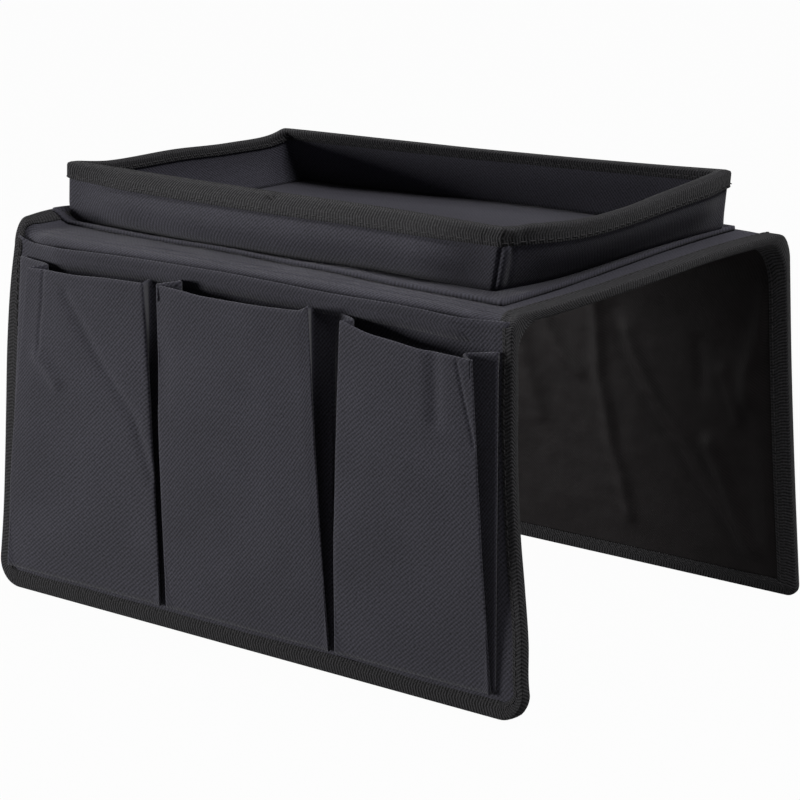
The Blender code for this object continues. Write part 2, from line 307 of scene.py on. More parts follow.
twillLook = {
    "color": (0.0450, 0.0432, 0.0582),
    "roughness": 0.85,
    "sheen": 0.15,
    "rib": (1.57, 42.2, 2.4),
    "cross": (1.55, -47.0, 2.4),
    "crossWeight": 0.4,
    "fuzz": (820.0, 2.0),
    "fuzzWeight": 2.0,
    # The shade follows the rib height: painted highlights on the ribs, painted shade in the grooves
    "shade": (0.72, -0.22),  # the height is about 1.7 on average
    "leastShade": 0.15,
    "slow": (26.0, 4.0),
    "slowShade": (0.5, 0.75),
    "bump": (0.5, 0.22),
}


def makeTwill():
    # Slanting ribs crossed by weaker ones and a fuzz of thread ends, with painted highlights on the ribs and
    # the raised fuzz, painted shade in the grooves, and slow changes of tone
    look = twillLook
    material, tree, shader = newMaterial("twill", look)
    place = clothPlace(tree)
    height, shade = woven(tree, place, look)
    slow = timesPlus(tree, noiseNode(tree, place, *look["slow"]), *look["slowShade"])
    # The colour carries painted highlights on the ribs and painted shade in their grooves, times the slow
    # changes of tone
    shaded(tree, shader, look, mathNode(tree, "MULTIPLY", shade, slow))
    bumped(tree, shader, look, height)
    return material


liningLook = {
    "color": (0.0190, 0.0160, 0.0165),
    "roughness": 0.62,
    "specular": 0.15,
    "crinkle": (60.0, 6.0),
    "crinkleShade": (0.7, 0.45),
    "weave": (1.3, 48, 1.6),
    "weaveHeight": 0.1,
    "weaveShade": 0.4,
    "bump": (0.7, 0.9),
}


def makeLining():
    # Thin smooth cloth, finely crinkled, with a fine slanting weave; its colour is darker in the crinkles'
    # hollows and between the threads and lighter on their raised parts: painted shade and painted highlights
    look = liningLook
    material, tree, shader = newMaterial("lining", look)
    place = clothPlace(tree)
    crinkle = noiseNode(tree, place, *look["crinkle"])
    weave = waves(tree, place, *look["weave"])
    bumped(tree, shader, look, timesPlus(tree, weave, look["weaveHeight"], crinkle))
    # Painted shade in the crinkles' hollows and painted highlights on the raised weave
    shade = timesPlus(tree, crinkle, *look["crinkleShade"])
    shaded(tree, shader, look, timesPlus(tree, weave, look["weaveShade"], shade))
    return material


bindingLook = {
    "color": (0.0284, 0.0274, 0.0300),
    "roughness": 0.85,
    "sheen": 0.08,
    "half": 4.7,  # width of the bands in which the ribs slant one way
    "slope": 0.4,
    "rib": (1.7, 0, 1.2),
    "cross": (1.3, 90, 1.2),
    "crossWeight": 0.15,
    "fuzz": (760.0, 2.0),
    "fuzzWeight": 1.6,
    # The shade follows the rib height: painted highlights on the ribs, painted shade between them
    "shade": (1.35, -0.88),  # the height is about 1.4 on average
    "leastShade": 0.1,
    "bump": (0.7, 0.4),
}


def makeBinding():
    # Ribs across the tape that turn back and forth in a herringbone, with painted highlights on the ribs and
    # painted shade between them. u runs along the tape, v across it.
    look = bindingLook
    material, tree, shader = newMaterial("binding", look)
    parts = node(tree, "ShaderNodeSeparateXYZ")
    tree.links.new(clothPlace(tree), parts.inputs[0])
    fromMiddle = mathNode(tree, "PINGPONG", parts.outputs[1], look["half"] * mm)
    slanted = node(tree, "ShaderNodeCombineXYZ")
    tree.links.new(timesPlus(tree, fromMiddle, look["slope"], parts.outputs[0]), slanted.inputs[0])
    tree.links.new(parts.outputs[1], slanted.inputs[1])
    height, shade = woven(tree, slanted.outputs[0], look)
    shaded(tree, shader, look, shade)
    bumped(tree, shader, look, height)
    return material


paperboardLook = {"color": (0.35, 0.29, 0.22), "roughness": 0.9, "fibre": (300.0, 5.0), "shade": (0.4, 0.8)}


def makePaperboard():
    look = paperboardLook
    material, tree, shader = newMaterial("paperboard", look)
    fibre = noiseNode(tree, node(tree, "ShaderNodeTexCoord").outputs["Object"], *look["fibre"])
    shaded(tree, shader, look, timesPlus(tree, fibre, *look["shade"]))
    return material


threadLook = {"color": (0.045, 0.043, 0.045), "roughness": 0.7, "twist": 1200.0, "bump": (0.5, 0.1)}


def makeThread():
    look = threadLook
    material, tree, shader = newMaterial("thread", look)
    twist = node(tree, "ShaderNodeTexWave", wave_profile="SIN", bands_direction="DIAGONAL",
                 Scale=look["twist"])
    tree.links.new(clothPlace(tree), twist.inputs["Vector"])
    bumped(tree, shader, look, twist.outputs["Fac"])
    return material


twill = makeTwill()
lining = makeLining()
binding = makeBinding()
paperboard = makePaperboard()
thread = makeThread()
print("materials made")


# Stage, lights and camera

# In metres. The floor is grey to the lights and nearly white to the camera.
stage = {
    "reach": 6.0,
    "drop": 0.0005,
    "color": (0.3, 0.3, 0.3),
    "roughness": 0.9,
    "white": 0.975,
    "ambient": 0.03,
    "aim": (0, 0, 0.12),
    # place, size and power
    "lights": {
        "overhead": ((0, 0.4, 2.25), 2.0, 21),
        "rightHigh": ((1.25, -0.1, 2.0), 0.7, 22),
        "frontLeft": ((-1.85, -1.5, 0.27), 0.6, 39),
    },
}


def makeStage():
    floor = bpy.data.meshes.new("floor")
    reach = stage["reach"]
    floor.from_pydata([(-reach, -reach, 0), (reach, -reach, 0), (reach, reach, 0), (-reach, reach, 0)],
                      [], [(0, 1, 2, 3)])
    ground = placed("floor", floor)
    ground.location.z = -stage["drop"]
    material, tree, shader = newMaterial("floor", stage)
    glow = node(tree, "ShaderNodeEmission", Color=(1, 1, 1, 1), Strength=1.0)
    mix = node(tree, "ShaderNodeMixShader")
    path = node(tree, "ShaderNodeLightPath")
    seen = mathNode(tree, "MULTIPLY", path.outputs["Is Camera Ray"], stage["white"])
    tree.links.new(seen, mix.inputs["Fac"])
    tree.links.new(shader.outputs[0], mix.inputs[1])
    tree.links.new(glow.outputs[0], mix.inputs[2])
    tree.links.new(mix.outputs[0], tree.nodes["Material Output"].inputs["Surface"])
    floor.materials.append(material)

    world = bpy.data.worlds.new("studio")
    world.use_nodes = True
    bpy.context.scene.world = world
    tree = world.node_tree
    ambient = tree.nodes["Background"]
    ambient.inputs["Color"].default_value = (1, 1, 1, 1)
    path = node(tree, "ShaderNodeLightPath")
    level = node(tree, "ShaderNodeMix", data_type="FLOAT")
    level.inputs[2].default_value = stage["ambient"]
    level.inputs[3].default_value = 1.0
    tree.links.new(path.outputs["Is Camera Ray"], level.inputs[0])
    tree.links.new(level.outputs[0], ambient.inputs["Strength"])


def softLight(name, place, size, power):
    lamp = bpy.data.lights.new(name, "AREA")
    lamp.shape = "SQUARE"
    lamp.size = size
    lamp.energy = power
    holder = placed(name, lamp)
    holder.location = place
    aim = Vector(stage["aim"]) - Vector(place)
    holder.rotation_euler = aim.to_track_quat("-Z", "Y").to_euler()


camera = {
    "azimuth": 40.5,
    "elevation": 12.9,
    "distance": 1600.0,
    "targetZ": 120.0,
    "focalPixels": 3144.5,
    "rightPixels": 0.7,
    "upPixels": 31.9,
    "picture": 800.0,
    "sensor": 36.0,
    "clip": (0.05, 30),
}


def makeCamera():
    turn, rise = np.radians(camera["azimuth"]), np.radians(camera["elevation"])
    back = Vector((np.sin(turn) * np.cos(rise), -np.cos(turn) * np.cos(rise), np.sin(rise)))
    right = Vector((np.cos(turn), np.sin(turn), 0))
    up = back.cross(right)
    data = bpy.data.cameras.new("camera")
    data.sensor_width = camera["sensor"]
    data.lens = camera["focalPixels"] / camera["picture"] * camera["sensor"]
    data.shift_x = -camera["rightPixels"] / camera["picture"]
    data.shift_y = -camera["upPixels"] / camera["picture"]
    data.clip_start, data.clip_end = camera["clip"]
    eye = Vector((0, middleY, camera["targetZ"])) * mm + back * camera["distance"] * mm
    holder = placed("camera", data)
    holder.matrix_world = Matrix.Translation(eye) @ Matrix((right, up, back)).transposed().to_4x4()
    bpy.context.scene.camera = holder


makeCamera()
makeStage()
for lightName, lightValues in stage["lights"].items():
    softLight(lightName, *lightValues)
bpy.context.scene.view_settings.view_transform = "Standard"


# The saddle: deck, folds and flaps

def sideEdge(side, which, q):
    # The sheet's edge: along the deck, round the fold and down the flap, by where q is
    form = sides[side]
    down = np.clip(q - 2, 0, 1) * form["length"]
    onFlap = through(down, form["down"], form[which])
    onDeck = saddle["deckLeft"] if which == "left" else saddle["deckRight"]
    # The deck's straight edge passes into the flap's between these q
    leave, arrive = 0.85, 2.0
    return np.where(q > 2, onFlap, between(onDeck, form[which][0], smooth((q - leave) / (arrive - leave))))


warp = {
    "x": (-166, -110, -20, 60, 110, 160),
    "front": (0, 0, 0, 0, -0.6, -2.6),
    "back": (0, 0.6, 3.2, 4.4, 5.1, 4.9),
    "fade": (1.25, 2.25),  # q where it begins to fade and where it ends
    "curl": 5.6,
    "curlX": (-150, -166),  # where the curl begins and where it is full
    "curlAlong": (-0.82, 0.35),  # its middle and spread, from -1 at the front fold to 1 at the back fold
    "swell": 0.3,
    "swellSize": 46,
}


def lift(side, x, q):
    # The deck's left edge curls up near the front, its right end droops in front and its back stands up
    along = np.clip(q, 0, 1) * sides[side]["way"]
    fade = smooth((warp["fade"][1] - q) / (warp["fade"][1] - warp["fade"][0]))
    start, full = warp["curlX"]
    middle, spread = warp["curlAlong"]
    curl = warp["curl"] * smooth((x - start) / (full - start)) * np.exp(-((along - middle) / spread) ** 2)
    front = through(x, warp["x"], warp["front"])
    back = through(x, warp["x"], warp["back"])
    swell = warp["swell"] * softNoise(x, along * 100 + 500, warp["swellSize"], 3)
    return (curl + between(front, back, smooth((along + 1.1) / 2.1)) + swell) * fade


def flapPoint(side, x, down, n):
    # A point on the flap's own plane, also above the fold: down from the hinge line and n out of the cover
    form = sides[side]
    x, down, n = np.broadcast_arrays(x, down, n)
    reach = saddle["foldRadius"] + n
    out = reach * np.cos(form["lean"]) + down * np.sin(form["lean"])
    up = reach * np.sin(form["lean"]) - down * np.cos(form["lean"])
    return np.stack([x, form["hingeY"] + form["way"] * out, saddle["hingeHeight"] + up], -1)


def saddlePoint(side, x, q, n):
    # q runs 0 to 1 along the deck from its middle to the fold, 1 to 2 round the fold and 2 to 3 down
    # the flap. n is the height above the cover's outer face. The fold is a round that touches the
    # deck's plane and the flap's, and it widens from the outer layers to the inner ones.
    form = sides[side]
    x, q, n = np.broadcast_arrays(x, q, n)
    lean = form["lean"]
    bend = np.pi / 2 - lean
    reach = saddle["foldRadius"] + n
    corner = -reach * (1 - np.sin(lean)) / np.cos(lean)
    cornerOut = reach * np.cos(lean) + corner * np.sin(lean)
    inner = between(saddle["foldRadius"], saddle["insideRadius"], np.clip(-n / saddle["panel"], 0, 1.3))
    radius = np.where(n > 0, reach, inner)
    trim = radius * np.tan(bend / 2)
    turn = np.clip(q - 1, 0, 1) * bend
    out = np.where(q <= 1, between(-halfDeck, cornerOut - trim, np.clip(q, 0, 1)),
                   cornerOut - trim + radius * np.sin(turn))
    up = np.where(q <= 1, reach, reach - radius + radius * np.cos(turn))
    points = np.stack([x, form["hingeY"] + form["way"] * out, saddle["hingeHeight"] + up], -1)
    onFlap = flapPoint(side, x, between(corner + trim, form["length"], np.clip(q - 2, 0, 1)), n)
    points = np.where(q[..., None] > 2, onFlap, points)
    points[..., 2] += lift(side, x, q)
    return points


def walked(q, side):
    # How far along the cloth q is, from the deck's middle
    return (np.clip(q, 0, 1) * halfDeck + np.clip(q - 1, 0, 1) * saddle["foldSpan"]
            + np.clip(q - 2, 0, 1) * sides[side]["length"])


# A row this close to the deck's middle keeps the two halves' shading alike where they meet
firstRow = [0, 0.003]


def sheetRows(side, inset, steps):
    # q of each row, closer together round the fold and at the flap's round corners
    form = sides[side]
    radius = max(form["corner"] - inset, 0.5)
    last = 1 - inset / form["length"]
    first = last - radius / form["length"]
    corner = between(first, last, np.sin(np.linspace(0, np.pi / 2, 8)))
    flap = np.linspace(0, first, steps)[:-1]
    deck, fold = np.linspace(0, 0.97, 28)[1:-1], np.linspace(0.97, 2, 32)[:-1]
    return np.concatenate([firstRow, deck, fold, 2 + flap, 2 + corner])


def sheetWidth(side, q, inset):
    # Left and right ends of each row, drawn in round the flap's two lower corners
    form = sides[side]
    radius = max(form["corner"] - inset, 0.5)
    down = np.clip(q - 2, 0, 1) * form["length"]
    into = np.clip((down - (form["length"] - inset - radius)) / radius, 0, 1)
    drawn = radius * (1 - np.sqrt(1 - into ** 2))
    return sideEdge(side, "left", q) + inset + drawn, sideEdge(side, "right", q) - inset - drawn


def saddleSheet(name, side, n, material, thick, flip=True, wrinkle=None, inset=saddle["sheetInset"],
                columns=72, steps=44, keep=None):
    q = sheetRows(side, inset, steps)
    if keep:
        q = q[(q >= keep[0]) & (q <= keep[1])]
    low, high = sheetWidth(side, q, inset)
    share = np.linspace(0, 1, columns)[None, :]
    x = between(low[:, None], high[:, None], share)
    rows = np.broadcast_to(q[:, None], x.shape)
    points = saddlePoint(side, x, rows, n + wrinkle(x, rows) if wrinkle else n)
    way = sides[side]["way"]
    uv = pattern("saddle", x, way * walked(rows, side))
    return gridPiece(name, points, uv, material, thick, flip=flip == (way > 0))


def coverWrinkle(x, q):
    # Slight unevenness, a fold that is filled out between its two tapes, and fine creases along it
    inside = smooth((np.minimum(x + 166, saddle["deckRight"] - x) - 9) / 14)
    rise, middle, spread = saddle["filled"]
    height = 0.25 * softNoise(x, q * 110, 30, 5) * smooth(q * 3)
    height = height + rise * np.exp(-((q - middle) / spread) ** 2) * inside
    for at, deep in saddle["seams"]:
        height = height - deep * np.exp(-((q - at) * saddle["foldSpan"]) ** 2) * inside
    return height


liningFolds = {
    # Pulled folds in the back lining: points (x, down), width and height towards the inside
    "back": [
        ([(40, 0), (42, 46), (42, 68), (46, 86), (48, 107), (54, 126), (58, 150)], 2.6, 1.5),
        ([(54, 30), (61, 57), (73, 78), (90, 99), (102, 118), (114, 134), (132, 152)], 3.4, -1.0),
        ([(60, 40), (68, 58), (80, 78), (97, 99), (109, 118), (121, 136), (137, 154)], 3.2, 1.5),
        ([(112, 96), (121, 118), (127, 136), (135, 154), (147, 167)], 2.8, 2.2),
        ([(122, 52), (127, 68), (131, 80)], 2.4, 1.2),
        ([(151, 4), (147, 21), (142, 38), (137, 50), (136, 66)], 3.6, 1.8),
        ([(142, 60), (146, 90), (149, 120), (150, 150)], 6.0, 1.4),
        ([(107, 40), (108, 66)], 3.0, -0.9),
        ([(8, 40), (16, 56), (29, 67)], 3.0, 1.0),
        ([(-10, 50), (-7, 69), (1, 98)], 4.0, 1.0),
        ([(-80, 10), (-70, 60), (-52, 110)], 4.5, 1.2),
        ([(-140, 30), (-120, 80), (-112, 130)], 4.5, 1.1),
    ],
    "front": [
        ([(-120, 20), (-104, 70), (-96, 130)], 4.0, 1.3),
        ([(-20, 10), (-8, 60), (12, 120)], 4.5, 1.2),
        ([(96, 12), (88, 70), (70, 140)], 4.0, 1.3),
        ([(140, 60), (130, 110)], 3.4, 1.1),
    ],
}


def liningWrinkle(side):
    def height(x, q):
        # Long pulled folds, and small wrinkles across them, all standing towards the inside
        length = sides[side]["length"]
        down = (q - 2) * length
        form = np.zeros(np.shape(x))
        for line, width, rise in liningFolds[side]:
            form = form - 1.1 * rise * ridge(x, down, line, width * 1.5)
        slow = 0.5 * softNoise(x * 0.9 + down * 0.4, down * 0.6 - x * 0.35 + 300, 24, 11)
        fine = 0.16 * softNoise(x + down * 0.3, down * 1.3 - x * 0.4 + 300, 7, 12)
        form = np.minimum(form + slow + fine, 0.9) - 0.6
        low, high = sheetWidth(side, q, 0)
        beside = np.minimum(x - low, high - x)
        inside = smooth((beside - 8) / 6)
        edge = np.where(q > 2, np.minimum(beside, length - down), beside)
        return (form * inside * smooth((q - 1.75) / 0.35) * smooth((3 - q) * 9 - 0.5)
                + saddle["pinch"] * smooth(1 - edge / 7))
    return height


foldStart, foldEnd = {}, {}
for side, form in sides.items():
    foldStart[side] = (0, form["hingeY"] * mm, deckHeight * mm)
    foldOut = form["hingeY"] + form["way"] * saddle["foldRadius"]
    foldEnd[side] = (0, foldOut * mm, saddle["hingeHeight"] * mm)


def overFold(piece, side, slot, *nodes):
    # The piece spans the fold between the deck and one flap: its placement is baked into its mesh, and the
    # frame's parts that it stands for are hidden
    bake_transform(piece)
    if nodes:
        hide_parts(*nodes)


def riding(piece, body, slot, *nodes):
    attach(piece, body)
    if nodes:
        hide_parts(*nodes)


def makeSaddle():
    face, thick = saddle["boardFace"], saddle["board"]
    for side in ("front", "back"):
        cover = saddleSheet("cover_" + side, side, 0.0, twill, saddle["cloth"], wrinkle=coverWrinkle)
        inside = saddleSheet("lining_" + side, side, -saddle["panel"], lining, saddle["lining"], flip=False,
                             wrinkle=liningWrinkle(side), columns=150, steps=90)
        for piece, slot, kind in ((cover, "twill", "cover"), (inside, "lining", "lining")):
            deckNode = ["deck_" + kind] if side == "front" else []
            overFold(piece, side, slot, side + "_fold_" + kind, side + "_" + kind, *deckNode)
        board = saddleSheet(side + "Board", side, face, paperboard, thick,
                            inset=saddle["boardInset"], columns=24, keep=(2.02, 3.0))
        riding(board, side + "_flap", "paperboard", side + "_board")
    inset = saddle["boardInset"]
    x = np.linspace(saddle["deckLeft"] + inset, saddle["deckRight"] - inset, 30)[None, :]
    along = np.linspace(-0.93, 0.93, 30)[:, None]
    x, along = np.broadcast_arrays(x, along)
    front = saddlePoint("front", x, -np.minimum(along, 0), face)
    back = saddlePoint("back", x, np.maximum(along, 0), face)
    points = np.where(along[..., None] < 0, front, back)
    board = gridPiece("deckBoard", points, paired(x, along * 100), paperboard, thick, flip=True)
    riding(board, "deck", "paperboard", "deck_board")


makeSaddle()
print("saddle made")


# Stitches: short beads of thread, each with a few faces

# Along a bead, as shares of its length, and how wide it is there
bead = {"around": 6, "rings": ((-0.5, 0.35), (-0.3, 1.0), (0.3, 1.0), (0.5, 0.35))}
saddleStitch = (4.6, 2.9, 0.62)  # pitch, length and width
footStitch = (4.6, 2.9, 0.6)
rimStitch = (5.0, 3.1, 0.66)


def placesOn(path, run, at):
    return np.stack([np.interp(at, run, values) for values in path.T], -1)


def stitchRow(name, path, above, pitch, long, wide):
    # Even beads along a path, lying on its side that looks towards the points above it
    run = lengthAlong(path)
    at = np.arange(pitch, run[-1] - pitch, pitch)
    place = placesOn(path, run, at)
    ahead = unit(placesOn(path, run, at + 0.5) - place)
    aside = unit(np.cross(ahead, placesOn(above, run, at) - place))
    turned = spokes(aside, np.cross(aside, ahead), bead["around"]) * wide / 2
    rings = []
    for share, width in bead["rings"]:
        rings.append(place[:, None] + ahead[:, None] * share * long + turned * width)
    points = np.stack(rings, 1)
    faces = gridFaces(len(rings), bead["around"], True)[:, ::-1]
    beadStart = np.arange(len(at)) * len(rings) * bead["around"]
    faces = (faces[None] + beadStart[:, None, None]).reshape(-1, 4)
    return putMesh(name, points, faces, paired(points[..., 0], points[..., 2]), thread)


# Binding tape round each half of the saddle

tapeForm = {
    "step": 1.6,
    "deckLip": 10.0,
    "deckOut": 1.1,
    "inner": -5.3,  # the inner lip's face, under the cover's
    "leftAt": (0.9, 1.5, 2.05, 2.12, 2.3),  # q where the left outer lip has these widths
    "leftLip": (10.0, 5.0, 5.5, 8.0, 10.3),
    "rightLip": 6.0,
    "bottomLip": 9.3,
    "bottomLong": 320,
    "innerLip": 9.5,
    "seamIn": 1.9,  # the stitches' distance from the lip's end
    "cloth": 0.6,
    "waver": 0.35,
    "waverSize": 26,
}


def edgeLine(side, width=0.0):
    # The saddle's edge, drawn in by a width that may change along it: down the left side, round the
    # bottom and up the right side. place runs 0 to 1 in the left corner and 1 to 2 in the right one.
    form = sides[side]
    length, corner = form["length"], form["corner"]
    step = tapeForm["step"]
    deck = np.linspace(0, 1, int(halfDeck / step))[1:-1]
    upper = np.concatenate([firstRow, deck, np.linspace(1, 2, 16)[:-1]])
    flap = np.linspace(0, 1, int(length / step))
    angle = np.linspace(0, np.pi / 2, 15)[1:-1]
    bottom = np.linspace(0, 1, int(tapeForm["bottomLong"] / step))
    counts = [len(part) for part in (upper, flap, angle, bottom, angle, flap, upper)]
    widths = np.split(np.broadcast_to(np.asarray(width, float), sum(counts)), np.cumsum(counts)[:-1])
    lines = []
    rightWidths = [part[::-1] for part in widths[:3:-1]]
    for which, way, three in (("left", 1, widths[:3]), ("right", -1, rightWidths)):
        onDeck, onFlap, atCorner = three
        widest = max(corner, atCorner.mean())
        stop = length - widest
        start = sideEdge(side, which, 2 + stop / length) + way * widest
        radius = np.maximum(corner - atCorner, 0)
        flapQ = 2 + flap * stop / length
        x = np.concatenate([
            sideEdge(side, which, upper) + way * onDeck,
            sideEdge(side, which, flapQ) + way * onFlap,
            start - way * radius * np.cos(angle),
        ])
        q = np.concatenate([upper, flapQ, 2 + (stop + radius * np.sin(angle)) / length])
        lines.append((x, q, start))
    (leftX, leftQ, leftStart), (rightX, rightQ, rightStart) = lines
    x = np.concatenate([leftX, between(leftStart, rightStart, bottom), rightX[::-1]])
    q = np.concatenate([leftQ, 2 + (length - widths[3]) / length, rightQ[::-1]])
    straight, turn = counts[0] + counts[1], np.linspace(0, 1, len(angle))
    middle = np.ones(len(bottom))
    return x, q, np.concatenate([np.zeros(straight), turn, middle, 1 + turn, np.full(straight, 2.0)])


def tapeProfile(lipOut, lipIn):
    # Across the tape: the outer lip, round the sheet's edge, then the inner lip, as shares and heights
    ones = np.ones_like(lipOut)
    rows = [(1.0, lipOut - 0.8), (0.99, lipOut - 0.45), (0.93, lipOut - 0.05), (0.85, lipOut)]
    rows += [(share, lipOut) for share in (0.7, 0.5, 0.3, 0.15)]
    edge = lipIn + saddle["pinch"]
    rows += [(0.05, lipOut - 0.15), (0.0, lipOut - 0.9), (-0.012, (lipOut + edge) / 2),
             (0.0, edge + 1.0), (0.035, edge + 0.2)]
    outer = len(rows) - 2
    for share in (0.1, 0.25, 0.4, 0.55, 0.75, 0.96):
        rows.append((share, lipIn + saddle["pinch"] * smooth(1 - share * 1.35)))
    rows += [(1.0, lipIn + 0.1), (1.0, lipIn + 0.45)]
    return [(share, height * ones) for share, height in rows], outer


def makeTape(side):
    form = sides[side]
    _, q, place = edgeLine(side)
    onFlap = smooth((q - 1.3) / 0.7)
    leftLip = np.interp(q, tapeForm["leftAt"], tapeForm["leftLip"])
    rightLip = between(tapeForm["deckLip"], tapeForm["rightLip"], onFlap)
    outerLip = np.where(place < 1, between(leftLip, tapeForm["bottomLip"], place),
                        between(tapeForm["bottomLip"], rightLip, place - 1))
    if side == "back":
        outerLip = np.full(len(q), tapeForm["deckLip"])
    run = np.arange(len(q)) * tapeForm["step"]
    waver = tapeForm["waver"] * softNoise(run, 0, tapeForm["waverSize"], 51) * smooth(q * 5)
    lipOut = between(tapeForm["deckOut"], form["lipOut"], onFlap)
    rows, middle = tapeProfile(lipOut, tapeForm["inner"])
    points = []
    for index, (share, height) in enumerate(rows):
        lip = outerLip + waver if index < middle else tapeForm["innerLip"]
        x, down, _ = edgeLine(side, np.broadcast_to(share * lip, len(q)))
        points.append(saddlePoint(side, x, down, height))
    points = np.stack(points, 1)
    along, across = lengthAlong(points[:, middle]), lengthAlong(points[len(points) // 2])
    uv = paired(along[:, None], across)
    tape = gridPiece("binding_" + side, points, uv, binding, tapeForm["cloth"], flip=side == "front")
    nodes = [side + "_binding", side + "_fold_binding_left", side + "_fold_binding_right"]
    nodes += ["deck_binding_left", "deck_binding_right"] if side == "front" else []
    overFold(tape, side, "binding", *nodes)
    seams = {
        "outer": (outerLip + waver, lipOut, 1),
        "inner": (tapeForm["innerLip"], tapeForm["inner"], -1),
    }
    for which, (lip, height, over) in seams.items():
        x, down, _ = edgeLine(side, np.broadcast_to(lip - tapeForm["seamIn"], len(q)))
        path = saddlePoint(side, x, down, height + 0.08 * over)
        above = saddlePoint(side, x, down, height + over)
        beads = stitchRow(side + "Stitches_" + which, path, above, *saddleStitch)
        overFold(beads, side, "binding")


makeTape("front")
makeTape("back")
print("bindings made")


# Wide pocket

widePocket = {
    "mouthX": (-162, -157, -131, -88, -46, -12, 47, 109, 139, 160),
    "mouth": (-5.6, -3.9, -3.1, -4.4, -5.1, -5.4, -4.3, -4.2, -3.2, -4.1),  # above the hinge line
    "top": -4.3,
    "flat": (330.0, 193.0),
    "cloth": 0.7,
    "seat": 1.7,
    "shoulder": (0.75, 2.6),  # height and width of the step off the tape round it
    "lift": 2.4,
    "liftEnd": 120.0,
    "sideRamp": 26.0,
    "mouthLean": 2.0,
    "mouthEnd": 30.0,  # how far down the mouth's waves reach
    "corner": 12.0,
    "bottomInset": 3.0,
    "sideInset": 2.5,
    "hem": ((1.4, 10.0), (1.4, 5.0), (1.3, 0.1), (0.5, -0.45)),  # how far back and down it turns
    "hemDown": (-15, -10, -4.5, -4.6),
}


def wideHeight(x, down, left, right):
    # Flat at its sewn sides and bottom, standing off towards the mouth
    side = smooth(np.minimum(x - left - 10, right - x - 6) / widePocket["sideRamp"])
    length = sides["front"]["length"]
    beside = np.minimum(np.minimum(x - left - 8.5, right - x - 4), length - down - tapeForm["bottomLip"])
    step, over = widePocket["shoulder"]
    rise = widePocket["lift"] * smooth((widePocket["liftEnd"] - down) / 130)
    lean = widePocket["mouthLean"] * np.clip((13 - down) / 17, 0, 1) ** 1.4
    ripple = 0.35 * softNoise(x, down, 34, 21)
    return widePocket["seat"] + step * smooth(beside / over) + (rise + lean + ripple) * side


def makeWidePocket():
    length = sides["front"]["length"]
    top, mouthEnd, corner = widePocket["top"], widePocket["mouthEnd"], widePocket["corner"]
    flatEnd = length - widePocket["bottomInset"] - corner
    rows = np.concatenate([np.linspace(top, mouthEnd, 16)[:-1], np.linspace(mouthEnd, flatEnd, 30),
                           flatEnd + corner * np.sin(np.linspace(0, np.pi / 2, 8)[1:])])
    low, high = sheetWidth("front", 2 + np.clip(rows, 0, length) / length, widePocket["sideInset"])
    share = np.linspace(0, 1, 96)[None, :]
    x = between(low[:, None], high[:, None], share)
    mouth = through(x, widePocket["mouthX"], widePocket["mouth"]) - top
    down = rows[:, None] + mouth * smooth((mouthEnd - rows[:, None]) / (mouthEnd + 4))
    n = wideHeight(x, down, low[:, None], high[:, None])
    points = flapPoint("front", x, down, n)
    # The hem: the mouth's edge turns back behind itself
    hem = [flapPoint("front", x[0], down[0] + drop, n[0] - back) for back, drop in widePocket["hem"]]
    points = np.concatenate([np.array(hem), points])
    drops = np.concatenate([widePocket["hemDown"], rows])[:, None]
    wide, tall = widePocket["flat"]
    uv = pattern("widePocket", share * wide, -drops)
    piece = gridPiece("widePocket", points, uv, twill, widePocket["cloth"])
    riding(piece, "front_flap", "twill", "wide_pocket")


makeWidePocket()
print("wide pocket made")


# Small pockets. Each mouth is given from its left seam to its right as (x, stand-off, height): the seam, the
# pleat's inner fold, its outer fold, points along the face, and the same three back to the right seam.
# closing is how fast each pleat closes from the mouth down, on the left and on the right. A crease in the
# face is given by points (x, down), width and height.

smallPockets = {
    "left": {
        "mouth": [(-156.8, 4.5, 174.9), (-131.5, 9, 174.5), (-138, 18, 173.6), (-126, 18.4, 173.9),
                  (-102, 18.8, 174.0), (-81, 18.8, 175.2), (-55.7, 17.8, 175.7), (-63, 5.8, 175.2),
                  (-47.5, 4.5, 176)],
        "bottom": (-165, -50.5),
        "closing": (1.0, 2.6),
        "creases": [
            ([(-125.2, 4), (-126.8, 22), (-129.5, 36), (-130.8, 50)], 1.0, -0.6),
            ([(-131, 51), (-126, 55), (-119, 63)], 4.2, 1.3),
            ([(-110, 17), (-98.5, 32), (-85.4, 50), (-64, 74), (-54, 102)], 3.4, -0.9),
        ],
        "seed": 31,
    },
    "middle": {
        "mouth": [(-45.5, 4.5, 177), (-36, 12, 178.6), (-47.5, 17.8, 176.8), (-30, 18.4, 175.9),
                  (-16.5, 18.7, 174.9), (20, 19.0, 175.2), (46, 18.4, 176.2), (52.5, 17.8, 178.2),
                  (44, 5.8, 175.5), (56.5, 4.5, 175.5)],
        "bottom": (-49.5, 61.5),
        "closing": (2.6, 0.8),
        "creases": [([(-46, 10), (-44, 60)], 6.0, -0.5)],
        "seed": 32,
    },
    "right": {
        "mouth": [(57.5, 4.5, 175.8), (74, 10.5, 175), (71.7, 18, 175.2), (90, 18.7, 171.8),
                  (107, 19, 170.4), (122, 19, 168.9), (141.4, 18.5, 168.5), (151.7, 17.5, 167.8),
                  (137, 5.8, 167.4), (155.3, 4.5, 170)],
        "bottom": (62.5, 160),
        "closing": (1.4, 1.0),
        "creases": [([(129, 6), (130, 42)], 4.5, -1.3), ([(142.3, 14), (152, 52)], 1.0, -0.6)],
        "seed": 33,
    },
}
